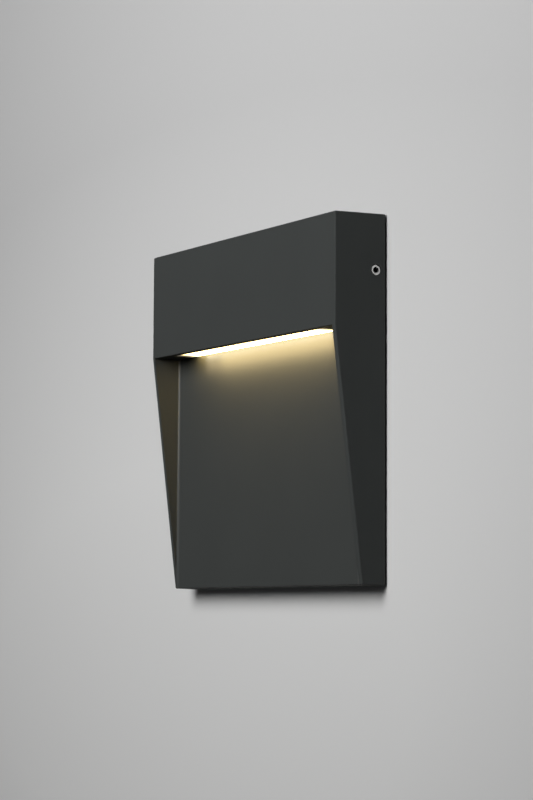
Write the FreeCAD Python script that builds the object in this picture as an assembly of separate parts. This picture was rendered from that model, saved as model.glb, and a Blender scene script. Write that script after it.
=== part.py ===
import FreeCAD, Part
import math
import os

# Square wall guide light: a die-cast housing that hangs over a steel wall plate.
# Millimetres. Origin at the centre of the wall face, +Z up, the light looks along -Y.

# Housing casting
HOUSING_WIDTH = 160.0          # at the rear edge
HOUSING_HEIGHT = 160.0         # at the rear edge
HOUSING_DEPTH = 25.4           # rear edge to front panel
FRONT_PANEL_HEIGHT = 49.7      # top edge at the rear down to the panel's lower edge
RECESS_DEPTH = 13.8            # front panel back to the lit panel
FIN_EDGE = 2.2                 # front edge of a side fin
SIDE_WALL = 3.2                # top, bottom and side walls
FRONT_WALL = 2.0
LIT_PANEL_WALL = 2.5
SHELF_WALL = 2.5               # underside of the light box
DRAFT_ANGLE = 1.5              # degrees
EDGE_RADIUS = 0.7
LIP_RADIUS = 0.4               # front panel's lower edge
RECESS_CORNER_RADIUS = 1.0
HOLLOW_CORNER_RADIUS = 2.0     # inside corners, open to the rear
WALL_GAP = 1.0                 # rear rim to the wall
RIB_COUNT = 3
RIB_THICKNESS = 1.6
RIB_HEIGHT = 2.5
RIB_PITCH = 44.0

# Light window and diffuser
WINDOW_END = 12.6              # recess side to the window's end
WINDOW_LIP = 3.4               # front panel to the window
WINDOW_CORNER = 1.0
DIFFUSER_PLAY = 0.15
DIFFUSER_RECESS = 0.3          # opal face above the underside
FLANGE_END = 3.0
FLANGE_REAR = 1.5
FLANGE_FRONT = 1.1
FLANGE_THICKNESS = 1.2
SEAL_THICKNESS = 0.8
SEAL_PLAY = 0.2

# LED tray, board and chips
TRAY_HEIGHT = 8.0
TRAY_SHEET = 1.0
TRAY_WEB = 1.5
TRAY_INSET = 1.0               # tray end inside the diffuser flange's end
FOOT_LENGTH = 9.0
FOOT_WIDTH = 8.0
FOOT_THICKNESS = 1.5
FOOT_SCREW_INSET = 4.0         # screw to the foot's free end
FOOT_BOSS_RADIUS = 3.0
PAD_THICKNESS = 0.3
BOARD_END_GAP = 3.0            # board to the tray's end wall
BOARD_WIDTH = 8.0
BOARD_THICKNESS = 1.2
CHIP_COUNT = 14
CHIP_MARGIN = 6.1              # board end to the middle of the outer chip
CHIP_LENGTH = 2.8
CHIP_WIDTH = 3.5
CHIP_HEIGHT = 0.7
CHIP_CORNER = 0.6              # cut corner that marks the polarity
OUTER_GAP_COUNT = 1            # gaps between chips left outside the outer screws

# Screws, by shank radius; small ones and their holes are drawn with a few flats
SCREW_FLAT_COUNT = 12
SMALL_SHANK = 1.0
SMALL_HEAD = 1.8
SMALL_HEAD_HEIGHT = 1.2
TRAY_SHANK = 1.25
TRAY_HEAD = 2.4
TRAY_HEAD_HEIGHT = 1.7
TRAY_SHANK_LENGTH = 4.6
DRIVER_SHANK = 1.25
DRIVER_HEAD = 2.5
DRIVER_HEAD_HEIGHT = 2.0
DRIVER_SHANK_LENGTH = 3.2
HOLE_PLAY = 0.05
SLOT_WIDTH = 0.5               # screwdriver slot

# Set screws
SET_SCREW_RADIUS = 2.5
SET_SCREW_LENGTH = 7.0
SET_SCREW_CHAMFER = 0.4
SOCKET_ACROSS_FLATS = 2.5
SOCKET_DEPTH = 3.0
SET_SCREW_FROM_REAR = 4.5      # axis to the housing's rear edge
SET_SCREW_FROM_TOP = 24.7
SET_SCREW_SINK = 0.35          # outer end below the side face
SET_SCREW_TIP_GAP = 0.1
SET_SCREW_BOSS_RADIUS = 3.5
BOSS_TAB_GAP = 0.4

# Wall plate
PLATE_SHEET = 1.5
PLATE_BEND = 0.8               # inside radius
PLATE_BOTTOM_MARGIN = 8.0
PLATE_CORNER = 4.0
TAB_DEPTH = 10.5               # wall to the tab's free edge
TAB_WIDTH = 30.0
LIP_WIDTH = 60.0
LIP_PLAY = 0.3
TAB_CORNER = 2.5
SLOT_SPACING = 70.0
SLOT_LENGTH = 14.0
SLOT_RADIUS = 2.6

# Cable entry
CABLE_FROM_TOP = 24.0
DISH_RADIUS = 13.0
DISH_HEIGHT = 2.0
CABLE_HOLE = 7.0
GROMMET_FLANGE = 9.5
GROMMET_REAR_FLANGE = 1.4
GROMMET_FRONT_FLANGE = 1.5
GROMMET_NOSE = 3.0
GROMMET_NOSE_RADIUS = 6.0
GROMMET_BORE = 4.0

# Terminal block
POLE_COUNT = 3
POLE_PITCH = 10.0
BLOCK_LENGTH = 18.0
BLOCK_BASE = 5.0
BLOCK_HEIGHT = 13.0
BLOCK_END = 1.5                # past the outer poles
POLE_WIDTH = 7.4
POLE_CORNER = 1.5
CLAMP_SIZE = 4.0
CLAMP_SHORTER = 2.0
CLAMP_PLAY = 0.1
CLAMP_SEAT = 2.0               # block's base to the clamp
WIRE_RADIUS = 1.4
CLAMP_SCREW_RADIUS = 1.3
CLAMP_SCREW_HEAD = 1.7
CLAMP_SCREW_HEIGHT = 3.0
CLAMP_SCREW_OFFSET = 4.5
CLAMP_SCREW_BITE = 1.0         # shank into the clamp
WELL_PLAY = 0.2
FIXING_RADIUS = 1.4
FIXING_HEAD = 2.1
FIXING_HEAD_HEIGHT = 1.6

# Earth point
EARTH_RADIUS = 2.0
EARTH_HEAD = 4.0
EARTH_HEAD_HEIGHT = 2.6
WASHER_SIZE = 9.5
WASHER_THICKNESS = 1.0
WASHER_LIP = 1.2

# Driver
DRIVER_LENGTH = 50.0
DRIVER_HEIGHT = 24.0
DRIVER_DEPTH = 14.5
DRIVER_WALL = 1.5
DRIVER_CORNER = 2.0
DRIVER_BOSS_HEIGHT = 2.0
DRIVER_BOSS_RADIUS = 3.2
EAR_LENGTH = 6.0
EAR_WIDTH = 10.0
EAR_THICKNESS = 1.5
LID_THICKNESS = 1.5
LEDGE_WIDTH = 3.0
LEDGE_HEIGHT = 1.5
DRIVER_BOARD_PLAY = 0.3
DRIVER_BOARD_THICKNESS = 1.2
TRANSFORMER_LENGTH = 14.0
TRANSFORMER_WIDTH = 16.0
TRANSFORMER_HEADROOM = 1.2     # to the lid
CORE_FLANGE = 2.0
CAPACITOR_RADIUS = 4.0
CAPACITOR_HEADROOM = 0.8       # to the lid
CAPACITOR_SPACING = 10.0
LEAD_NOTCH = 5.0

# Gasket on the housing's rear rim
RIM_GASKET_INSET = 1.2
RIM_GASKET_WIDTH = 2.0
RIM_GASKET_CORNER = 2.4        # corners cut off at 45 degrees

ALONG_X = FreeCAD.Vector(1, 0, 0)
ALONG_Y = FreeCAD.Vector(0, 1, 0)
ALONG_Z = FreeCAD.Vector(0, 0, 1)
NEAR = 1e-6                    # lengths closer than this are the same

# Levels worked out from the sizes above
slope = math.tan(math.radians(DRAFT_ANGLE))
rear_y = -WALL_GAP
front_y = rear_y - HOUSING_DEPTH
lit_y = front_y + RECESS_DEPTH
lit_back_y = lit_y + LIT_PANEL_WALL
front_back_y = front_y + FRONT_WALL
half_width = HOUSING_WIDTH / 2
top_z = HOUSING_HEIGHT / 2
underside_z = top_z - FRONT_PANEL_HEIGHT
shelf_z = underside_z + SHELF_WALL
front_taper = slope * HOUSING_DEPTH
lit_taper = slope * (HOUSING_DEPTH - RECESS_DEPTH)
recess_half = half_width - front_taper - FIN_EDGE
window_half = recess_half - WINDOW_END
window_front_y = front_y + WINDOW_LIP
window_rear_y = lit_y                     # flush with the lit panel
window_y = (window_front_y + window_rear_y) / 2
seal_z = shelf_z + SEAL_THICKNESS
flange_z = seal_z + FLANGE_THICKNESS
flange_half = window_half + FLANGE_END
flange_front_y = window_front_y - FLANGE_FRONT
flange_rear_y = window_rear_y + FLANGE_REAR
tray_half = flange_half - TRAY_INSET
tray_top_z = flange_z + TRAY_HEIGHT
tray_web_z = tray_top_z - TRAY_WEB
tray_y = (flange_front_y + flange_rear_y) / 2
foot_screw_x = tray_half + FOOT_LENGTH - FOOT_SCREW_INSET
pad_z = tray_web_z - PAD_THICKNESS
board_z = pad_z - BOARD_THICKNESS
board_half = tray_half - TRAY_SHEET - BOARD_END_GAP
chip_pitch = 2 * (board_half - CHIP_MARGIN) / (CHIP_COUNT - 1)
screw_y = rear_y - SET_SCREW_FROM_REAR
screw_z = top_z - SET_SCREW_FROM_TOP
screw_outer_x = half_width - slope * SET_SCREW_FROM_REAR - SET_SCREW_SINK
screw_tip_x = screw_outer_x - SET_SCREW_LENGTH
tab_x = screw_tip_x - SET_SCREW_TIP_GAP
boss_x = tab_x + BOSS_TAB_GAP
tab_inner_x = tab_x - PLATE_SHEET
plate_y = -PLATE_SHEET
lip_z = top_z - SIDE_WALL - slope * (TAB_DEPTH - WALL_GAP) - LIP_PLAY
cable_z = top_z - CABLE_FROM_TOP

# Driver on one side of the cable; terminal block and earth point spread evenly on the other
gear_z = (tray_top_z + lip_z - PLATE_SHEET) / 2
driver_x = -(tab_inner_x + GROMMET_FLANGE) / 2
driver_front_y = front_back_y + DRIVER_BOSS_HEIGHT
driver_floor_y = driver_front_y + DRIVER_WALL
driver_rear_y = driver_front_y + DRIVER_DEPTH
driver_board_y = driver_floor_y + LEDGE_HEIGHT
driver_parts_y = driver_board_y + DRIVER_BOARD_THICKNESS
ear_x = (DRIVER_LENGTH + EAR_LENGTH) / 2
block_half = POLE_COUNT * POLE_PITCH / 2 + BLOCK_END
gear_gap = (tab_inner_x - DISH_RADIUS - 2 * block_half - WASHER_SIZE) / 3
block_x = DISH_RADIUS + gear_gap + block_half
earth_x = tab_inner_x - gear_gap - WASHER_SIZE / 2
clamp_front_y = plate_y - CLAMP_SEAT - CLAMP_PLAY - CLAMP_SIZE


def vec(x, y, z):
    return FreeCAD.Vector(x, y, z)


def box(x, y, z):
    """Block between two limits on each axis, given in either order."""
    low = [min(pair) for pair in (x, y, z)]
    size = [abs(pair[1] - pair[0]) for pair in (x, y, z)]
    return Part.makeBox(*size, vec(*low))


def prism(points, sweep):
    corners = [vec(*point) for point in points]
    return Part.Face(Part.makePolygon(corners + corners[:1])).extrude(vec(*sweep))


def rounded_box(x, y, z, axis, radius):
    """Block whose four edges along one axis are rounded."""
    block = box(x, y, z)
    return block.makeFillet(radius, edges_along(block, axis))


def edges_along(shape, axis):
    def follows(edge):
        return abs(edge.tangentAt(edge.FirstParameter).dot(axis)) > 1 - NEAR

    return [edge for edge in shape.Edges if follows(edge)]


def rod(radius, base, axis, length):
    return Part.makeCylinder(radius, length, base, axis)


def flat_rod(radius, base, axis, length):
    """Small round bar or hole drawn with flats; its corners lie on the radius."""
    across = ALONG_X if abs(axis.x) < NEAR else ALONG_Y
    up = axis.cross(across)
    turns = [2 * math.pi * step / SCREW_FLAT_COUNT for step in range(SCREW_FLAT_COUNT)]
    corners = [base + across * (radius * math.cos(turn)) + up * (radius * math.sin(turn)) for turn in turns]
    return Part.Face(Part.makePolygon(corners + corners[:1])).extrude(axis * length)


def at(shape, x, y, z):
    moved = shape.copy()
    moved.translate(vec(x, y, z))
    return moved


def fuse(first, *others):
    return first.fuse(list(others)).removeSplitter()


def single(shape):
    return shape.Solids[0]


def slotted_screw(shank_radius, shank_length, head_radius, head_height):
    """Cheese-head screw on +Z with the underside of its head at the origin."""
    head = flat_rod(head_radius, vec(0, 0, 0), ALONG_Z, head_height)
    across = (-SLOT_WIDTH / 2, SLOT_WIDTH / 2)
    slot = box((-head_radius, head_radius), across, (head_height / 2, head_height))
    shank = flat_rod(shank_radius, vec(0, 0, -shank_length), ALONG_Z, shank_length)
    return single(fuse(head.cut(slot), shank))


def turned(shape, axis, angle):
    copy = shape.copy()
    copy.rotate(vec(0, 0, 0), axis, angle)
    return copy


def group(shapes):
    return Part.makeCompound(shapes)


def at_rear(edge):
    return all(abs(vertex.Y - rear_y) < NEAR for vertex in edge.Vertexes)


def from_rear(edge):
    """Edge that starts in the rear plane and leaves it."""
    return any(abs(vertex.Y - rear_y) < NEAR for vertex in edge.Vertexes) and not at_rear(edge)


def at_fold(edge):
    """Line where the front panel turns into the sloping fins."""
    middle = edge.CenterOfMass
    return abs(middle.y - front_y) < NEAR and abs(middle.z - underside_z) < NEAR


def cast_outline():
    """Drafted outer form: side profile and plan crossed, edges rounded, recess cut between the fins."""
    margin = HOUSING_DEPTH
    far = half_width + margin
    high = top_z + margin
    profile = prism(
        [
            (-far, rear_y, -top_z),
            (-far, rear_y, top_z),
            (-far, front_y, top_z - front_taper),
            (-far, front_y, underside_z),
            (-far, lit_y, lit_taper - top_z),
        ],
        (2 * far, 0, 0),
    )
    plan = prism(
        [
            (-half_width, rear_y, -high),
            (half_width, rear_y, -high),
            (half_width - front_taper, front_y, -high),
            (front_taper - half_width, front_y, -high),
        ],
        (0, 0, 2 * high),
    )
    outline = single(profile.common(plan))
    outer = [edge for edge in outline.Edges if not at_rear(edge) and not at_fold(edge)]
    outline = outline.makeFillet(EDGE_RADIUS, outer)
    recess = box((-recess_half, recess_half), (front_y - margin, lit_y), (-high, underside_z))
    upright = edges_along(recess, ALONG_Z)
    corners = [edge for edge in upright if abs(edge.CenterOfMass.y - lit_y) < NEAR]
    return single(outline.cut(recess.makeFillet(RECESS_CORNER_RADIUS, corners)))


def cast_hollow():
    """Space open to the rear: deep behind the front panel, shallow behind the lit panel."""
    inner_half = half_width - SIDE_WALL
    inner_top = top_z - SIDE_WALL
    deep = rear_y - front_back_y
    shallow = rear_y - lit_back_y
    reach = half_width + HOUSING_DEPTH
    high = top_z + HOUSING_DEPTH
    profile = prism(
        [
            (-reach, rear_y, -inner_top),
            (-reach, rear_y, inner_top),
            (-reach, front_back_y, inner_top - slope * deep),
            (-reach, front_back_y, shelf_z),
            (-reach, lit_back_y, shelf_z),
            (-reach, lit_back_y, slope * shallow - inner_top),
        ],
        (2 * reach, 0, 0),
    )
    plan = prism(
        [
            (-inner_half, rear_y, -high),
            (inner_half, rear_y, -high),
            (inner_half - slope * deep, front_back_y, -high),
            (slope * deep - inner_half, front_back_y, -high),
        ],
        (0, 0, 2 * high),
    )
    hollow = single(profile.common(plan))
    corners = [edge for edge in hollow.Edges if from_rear(edge)]
    return hollow.makeFillet(HOLLOW_CORNER_RADIUS, corners)


def window_block(grow, low_z, high_z):
    """Rounded bar the shape of the light window, grown on every side."""
    half = window_half + grow
    across = (window_front_y - grow, window_rear_y + grow)
    return rounded_box((-half, half), across, (low_z, high_z), ALONG_Z, WINDOW_CORNER + grow)


def flange_block(low_z, high_z):
    across = (flange_front_y, flange_rear_y)
    return rounded_box((-flange_half, flange_half), across, (low_z, high_z), ALONG_Z, WINDOW_CORNER)


def screw_boss(side):
    """Boss inside a side wall that takes a set screw."""
    length = half_width - SIDE_WALL / 2 - boss_x
    return rod(SET_SCREW_BOSS_RADIUS, vec(side * boss_x, screw_y, screw_z), vec(side, 0, 0), length)


def make_housing():
    body = cast_outline().cut(cast_hollow())
    ribs = []
    for index in range(RIB_COUNT):
        x = (index - (RIB_COUNT - 1) / 2) * RIB_PITCH
        across = (x - RIB_THICKNESS / 2, x + RIB_THICKNESS / 2)
        deep = (lit_y, lit_back_y + RIB_HEIGHT)
        ribs.append(box(across, deep, (SIDE_WALL / 2 - top_z + lit_taper, underside_z)))
    bosses = [screw_boss(side) for side in (-1, 1)]
    for side in (-1, 1):
        foot = vec(side * foot_screw_x, tray_y, underside_z + SHELF_WALL / 2)
        bosses.append(rod(FOOT_BOSS_RADIUS, foot, ALONG_Z, flange_z - foot.z))
        ear = vec(driver_x + side * ear_x, front_y + FRONT_WALL / 2, gear_z)
        bosses.append(rod(DRIVER_BOSS_RADIUS, ear, ALONG_Y, driver_front_y - ear.y))
    body = fuse(body, *ribs, *bosses)
    cuts = [window_block(0, underside_z - SHELF_WALL, shelf_z + SHELF_WALL)]
    for side in (-1, 1):
        bore = vec(side * (boss_x - BOSS_TAB_GAP), screw_y, screw_z)
        cuts.append(rod(SET_SCREW_RADIUS + HOLE_PLAY, bore, vec(side, 0, 0), half_width))
        bottom = flange_z + FOOT_THICKNESS - TRAY_SHANK_LENGTH - HOLE_PLAY
        foot = vec(side * foot_screw_x, tray_y, bottom)
        cuts.append(flat_rod(TRAY_SHANK + HOLE_PLAY, foot, ALONG_Z, TRAY_SHANK_LENGTH))
        bottom = driver_front_y + EAR_THICKNESS - DRIVER_SHANK_LENGTH - HOLE_PLAY
        ear = vec(driver_x + side * ear_x, bottom, gear_z)
        cuts.append(flat_rod(DRIVER_SHANK + HOLE_PLAY, ear, ALONG_Y, DRIVER_SHANK_LENGTH))
    body = single(body.cut(cuts))
    lip = [edge for edge in body.Edges if at_fold(edge) and edge.Length > recess_half]
    return body.makeFillet(LIP_RADIUS, lip)


def make_rim_gasket():
    outer_x = half_width - RIM_GASKET_INSET
    outer_z = top_z - RIM_GASKET_INSET
    inner_x = outer_x - RIM_GASKET_WIDTH
    inner_z = outer_z - RIM_GASKET_WIDTH
    ring = box((-outer_x, outer_x), (rear_y, 0), (-outer_z, outer_z))
    ring = ring.makeChamfer(RIM_GASKET_CORNER, edges_along(ring, ALONG_Y))
    space = box((-inner_x, inner_x), (rear_y, 0), (-inner_z, inner_z))
    inner_corner = RIM_GASKET_CORNER - RIM_GASKET_WIDTH * (2 - math.sqrt(2))
    space = space.makeChamfer(inner_corner, edges_along(space, ALONG_Y))
    return single(ring.cut(space))


def make_diffuser():
    bar = window_block(-DIFFUSER_PLAY, underside_z + DIFFUSER_RECESS, flange_z)
    return single(fuse(bar, flange_block(seal_z, flange_z)))


def make_diffuser_gasket():
    return single(flange_block(shelf_z, seal_z).cut(window_block(SEAL_PLAY, shelf_z, seal_z)))


def make_led_carrier():
    """Pressed tray, open below, with a foot at each end."""
    across = (flange_front_y, flange_rear_y)
    inner = (flange_front_y + TRAY_SHEET, flange_rear_y - TRAY_SHEET)
    tray = rounded_box((-tray_half, tray_half), across, (flange_z, tray_top_z), ALONG_Z, TRAY_SHEET)
    long_half = tray_half - TRAY_SHEET
    foot_across = (tray_y - FOOT_WIDTH / 2, tray_y + FOOT_WIDTH / 2)
    foot_up = (flange_z, flange_z + FOOT_THICKNESS)
    feet = [
        box((side * long_half, side * (tray_half + FOOT_LENGTH)), foot_across, foot_up)
        for side in (-1, 1)
    ]
    cuts = [box((-long_half, long_half), inner, (flange_z, tray_web_z))]
    for side in (-1, 1):
        hole = vec(side * foot_screw_x, tray_y, flange_z)
        cuts.append(flat_rod(TRAY_SHANK + HOLE_PLAY, hole, ALONG_Z, FOOT_THICKNESS))
    for x in board_screw_places():
        cuts.append(flat_rod(SMALL_SHANK + HOLE_PLAY, vec(x, window_y, tray_web_z), ALONG_Z, TRAY_WEB))
    return single(fuse(tray, *feet).cut(cuts))


def chip_place(index):
    return (index - (CHIP_COUNT - 1) / 2) * chip_pitch


def board_screw_places():
    """Half-way between two chips, near each end and in the middle."""
    gaps = (OUTER_GAP_COUNT, (CHIP_COUNT - 1) // 2, CHIP_COUNT - 2 - OUTER_GAP_COUNT)
    return [(chip_place(gap) + chip_place(gap + 1)) / 2 for gap in gaps]


def make_carrier_screws():
    screw = slotted_screw(TRAY_SHANK, TRAY_SHANK_LENGTH, TRAY_HEAD, TRAY_HEAD_HEIGHT)
    top = flange_z + FOOT_THICKNESS
    return group([at(screw, side * foot_screw_x, tray_y, top) for side in (-1, 1)])


def board_sheet(low_z, high_z):
    """Strip the size of the LED board, drilled for its screws."""
    across = (window_y - BOARD_WIDTH / 2, window_y + BOARD_WIDTH / 2)
    strip = box((-board_half, board_half), across, (low_z, high_z))
    holes = [
        flat_rod(SMALL_SHANK + HOLE_PLAY, vec(x, window_y, low_z), ALONG_Z, high_z - low_z)
        for x in board_screw_places()
    ]
    return single(strip.cut(holes))


def make_led_chips():
    """Row of flat packages, each with one cut corner."""
    long = CHIP_LENGTH / 2
    wide = CHIP_WIDTH / 2
    low = board_z - CHIP_HEIGHT
    outline = [
        (-long, -wide, low),
        (long, -wide, low),
        (long, wide - CHIP_CORNER, low),
        (long - CHIP_CORNER, wide, low),
        (-long, wide, low),
    ]
    chip = prism(outline, (0, 0, CHIP_HEIGHT))
    return group([at(chip, chip_place(index), window_y, 0) for index in range(CHIP_COUNT)])


def make_led_board_screws():
    reach = BOARD_THICKNESS + PAD_THICKNESS + TRAY_WEB
    screw = turned(slotted_screw(SMALL_SHANK, reach, SMALL_HEAD, SMALL_HEAD_HEIGHT), ALONG_X, 180)
    return group([at(screw, x, window_y, board_z) for x in board_screw_places()])


def driver_block(y, inset):
    """Rounded bar the shape of the driver, drawn in from its outside."""
    long = DRIVER_LENGTH / 2 - inset
    tall = DRIVER_HEIGHT / 2 - inset
    radius = max(DRIVER_CORNER - inset, DRIVER_CORNER / 4)
    along = (driver_x - long, driver_x + long)
    return rounded_box(along, y, (gear_z - tall, gear_z + tall), ALONG_Y, radius)


def make_driver_case():
    """Tub that opens to the rear, with an ear and a board ledge at each end and a notch for leads."""
    mid_wall = DRIVER_WALL / 2
    ear_deep = (driver_front_y, driver_front_y + EAR_THICKNESS)
    ear_tall = (gear_z - EAR_WIDTH / 2, gear_z + EAR_WIDTH / 2)
    ledge_deep = (driver_floor_y - mid_wall, driver_board_y)
    ledge_tall = (gear_z - DRIVER_HEIGHT / 2 + mid_wall, gear_z + DRIVER_HEIGHT / 2 - mid_wall)
    ears = []
    ledges = []
    cuts = []
    for side in (-1, 1):
        end = driver_x + side * DRIVER_LENGTH / 2
        wall = end - side * mid_wall
        ears.append(box((wall, end + side * EAR_LENGTH), ear_deep, ear_tall))
        ledges.append(box((wall, end - side * (DRIVER_WALL + LEDGE_WIDTH)), ledge_deep, ledge_tall))
        hole = vec(driver_x + side * ear_x, driver_front_y, gear_z)
        cuts.append(flat_rod(DRIVER_SHANK + HOLE_PLAY, hole, ALONG_Y, EAR_THICKNESS))
    cuts.append(box(
        (end - DRIVER_WALL, end),
        (driver_rear_y - LEAD_NOTCH, driver_rear_y),
        (gear_z - LEAD_NOTCH / 2, gear_z + LEAD_NOTCH / 2),
    ))
    body = driver_block((driver_front_y, driver_rear_y), 0)
    tub = fuse(body, *ears).cut(driver_block((driver_floor_y, driver_rear_y), DRIVER_WALL))
    return single(fuse(tub, *ledges).cut(cuts))


def make_driver_board():
    return driver_block((driver_board_y, driver_parts_y), DRIVER_WALL + DRIVER_BOARD_PLAY)


def make_driver_transformer():
    """Wound bobbin between the two cheeks of its core."""
    high = driver_rear_y - driver_parts_y - TRANSFORMER_HEADROOM
    tall = (gear_z - TRANSFORMER_WIDTH / 2, gear_z + TRANSFORMER_WIDTH / 2)
    left = driver_x - TRANSFORMER_LENGTH
    cheeks = [
        box((x, x + CORE_FLANGE), (driver_parts_y, driver_parts_y + high), tall)
        for x in (left, driver_x - CORE_FLANGE)
    ]
    middle = vec(left, driver_parts_y + high / 2, gear_z)
    winding = rod((high - CORE_FLANGE) / 2, middle, ALONG_X, TRANSFORMER_LENGTH)
    return single(fuse(winding, *cheeks))


def make_driver_capacitors():
    """Two cans that stand between the transformer and the lead notch."""
    high = driver_rear_y - driver_parts_y - CAPACITOR_HEADROOM
    cans = []
    for side in (-1, 1):
        base = vec(driver_x + DRIVER_LENGTH / 4, driver_parts_y, gear_z + side * CAPACITOR_SPACING / 2)
        cans.append(rod(CAPACITOR_RADIUS, base, ALONG_Y, high))
    return group(cans)


def make_driver_screws():
    screw = slotted_screw(DRIVER_SHANK, DRIVER_SHANK_LENGTH, DRIVER_HEAD, DRIVER_HEAD_HEIGHT)
    screw = turned(screw, ALONG_X, -90)
    seat = driver_front_y + EAR_THICKNESS
    return group([at(screw, driver_x + side * ear_x, seat, gear_z) for side in (-1, 1)])


def make_set_screw(side):
    """Headless screw along X with a hex socket in its outer end and a flat tip."""
    shank = rod(SET_SCREW_RADIUS, vec(0, 0, 0), ALONG_X, SET_SCREW_LENGTH)
    rims = [edge for edge in shank.Edges if len(edge.Vertexes) == 1]
    shank = shank.makeChamfer(SET_SCREW_CHAMFER, rims)
    turns = [math.pi * step / 3 for step in range(6)]
    corner = SOCKET_ACROSS_FLATS / 2 / math.cos(turns[1] / 2)
    start = SET_SCREW_LENGTH - SOCKET_DEPTH
    hexagon = [(start, corner * math.cos(turn), corner * math.sin(turn)) for turn in turns]
    screw = single(shank.cut(prism(hexagon, (SOCKET_DEPTH, 0, 0))))
    if side < 0:
        screw = turned(screw, ALONG_Z, 180)
    return at(screw, side * screw_tip_x, screw_y, screw_z)


def bent_tab(width):
    """Sheet tab that leaves a plate's edge along +X and bends forward to -Y."""
    outer = PLATE_BEND + PLATE_SHEET
    diagonal = math.sqrt(0.5)
    centre_y = -outer
    start = vec(0, 0, 0)
    outer_mid = vec(outer * diagonal, centre_y + outer * diagonal, 0)
    inner_mid = vec(PLATE_BEND * diagonal, centre_y + PLATE_BEND * diagonal, 0)
    edges = [
        Part.Arc(start, outer_mid, vec(outer, centre_y, 0)).toShape(),
        Part.LineSegment(vec(outer, centre_y, 0), vec(outer, -TAB_DEPTH, 0)).toShape(),
        Part.LineSegment(vec(outer, -TAB_DEPTH, 0), vec(PLATE_BEND, -TAB_DEPTH, 0)).toShape(),
        Part.LineSegment(vec(PLATE_BEND, -TAB_DEPTH, 0), vec(PLATE_BEND, centre_y, 0)).toShape(),
        Part.Arc(vec(PLATE_BEND, centre_y, 0), inner_mid, vec(0, -PLATE_SHEET, 0)).toShape(),
        Part.LineSegment(vec(0, -PLATE_SHEET, 0), start).toShape(),
    ]
    tab = at(Part.Face(Part.Wire(edges)).extrude(vec(0, 0, width)), 0, 0, -width / 2)
    corners = [edge for edge in edges_along(tab, ALONG_X) if edge.CenterOfMass.y < NEAR - TAB_DEPTH]
    return tab.makeFillet(TAB_CORNER, corners)


def dish_cone(front, inset):
    """Cone of the pressed dish around the cable hole; inset gives its hollow side."""
    wide = DISH_RADIUS - inset
    return Part.makeCone(wide - DISH_HEIGHT, wide, DISH_HEIGHT, vec(0, front, cable_z), ALONG_Y)


def wall_slot(x):
    """Slot for a wall screw, lying along X."""
    reach = SLOT_LENGTH / 2 - SLOT_RADIUS
    bar = box((x - reach, x + reach), (plate_y, 0), (-SLOT_RADIUS, SLOT_RADIUS))
    ends = [
        rod(SLOT_RADIUS, vec(x + side * reach, plate_y, 0), ALONG_Y, PLATE_SHEET)
        for side in (-1, 1)
    ]
    return fuse(bar, *ends)


def make_wall_plate():
    """Flat plate with side tabs, a hanging lip, a dished cable hole and slots for the wall screws."""
    bend = PLATE_BEND + PLATE_SHEET
    edge_x = tab_x - bend
    edge_z = lip_z - bend
    sheet = rounded_box(
        (-edge_x, edge_x), (plate_y, 0), (PLATE_BOTTOM_MARGIN - top_z, edge_z), ALONG_Y, PLATE_CORNER
    )
    tab = bent_tab(TAB_WIDTH)
    tabs = [
        at(tab, edge_x, 0, screw_z),
        at(turned(tab, ALONG_Y, 180), -edge_x, 0, screw_z),
        at(turned(bent_tab(LIP_WIDTH), ALONG_Y, -90), 0, 0, edge_z),
    ]
    dish_y = plate_y - DISH_HEIGHT
    dish = dish_cone(dish_y, 0)
    cuts = [dish_cone(dish_y + PLATE_SHEET, PLATE_SHEET)]
    cuts.append(rod(CABLE_HOLE, vec(0, dish_y, cable_z), ALONG_Y, DISH_HEIGHT + PLATE_SHEET))
    for side in (-1, 1):
        cuts.append(wall_slot(side * SLOT_SPACING / 2))
        hole = vec(block_x + side * POLE_PITCH / 2, plate_y, gear_z)
        cuts.append(flat_rod(FIXING_RADIUS + HOLE_PLAY, hole, ALONG_Y, PLATE_SHEET))
    cuts.append(flat_rod(EARTH_RADIUS + HOLE_PLAY, vec(earth_x, plate_y, gear_z), ALONG_Y, PLATE_SHEET))
    return single(fuse(sheet, dish, *tabs).cut(cuts))


def make_cable_grommet():
    """Rubber grommet seated in the dished hole, with a nose that tapers forward."""
    front = plate_y - DISH_HEIGHT
    back = front + PLATE_SHEET
    nose_y = front - GROMMET_FRONT_FLANGE
    profile = [
        (GROMMET_BORE, back + GROMMET_REAR_FLANGE),
        (GROMMET_FLANGE, back + GROMMET_REAR_FLANGE),
        (GROMMET_FLANGE, back),
        (CABLE_HOLE - HOLE_PLAY, back),
        (CABLE_HOLE - HOLE_PLAY, front),
        (GROMMET_FLANGE, front),
        (GROMMET_FLANGE, nose_y),
        (GROMMET_NOSE_RADIUS, nose_y - GROMMET_NOSE),
        (GROMMET_BORE, nose_y - GROMMET_NOSE),
    ]
    corners = [vec(radius, y, 0) for radius, y in profile]
    section = Part.Face(Part.makePolygon(corners + corners[:1]))
    return at(section.revolve(vec(0, 0, 0), ALONG_Y, 360), 0, 0, cable_z)


def pole_places():
    return [block_x + (index - (POLE_COUNT - 1) / 2) * POLE_PITCH for index in range(POLE_COUNT)]


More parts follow.
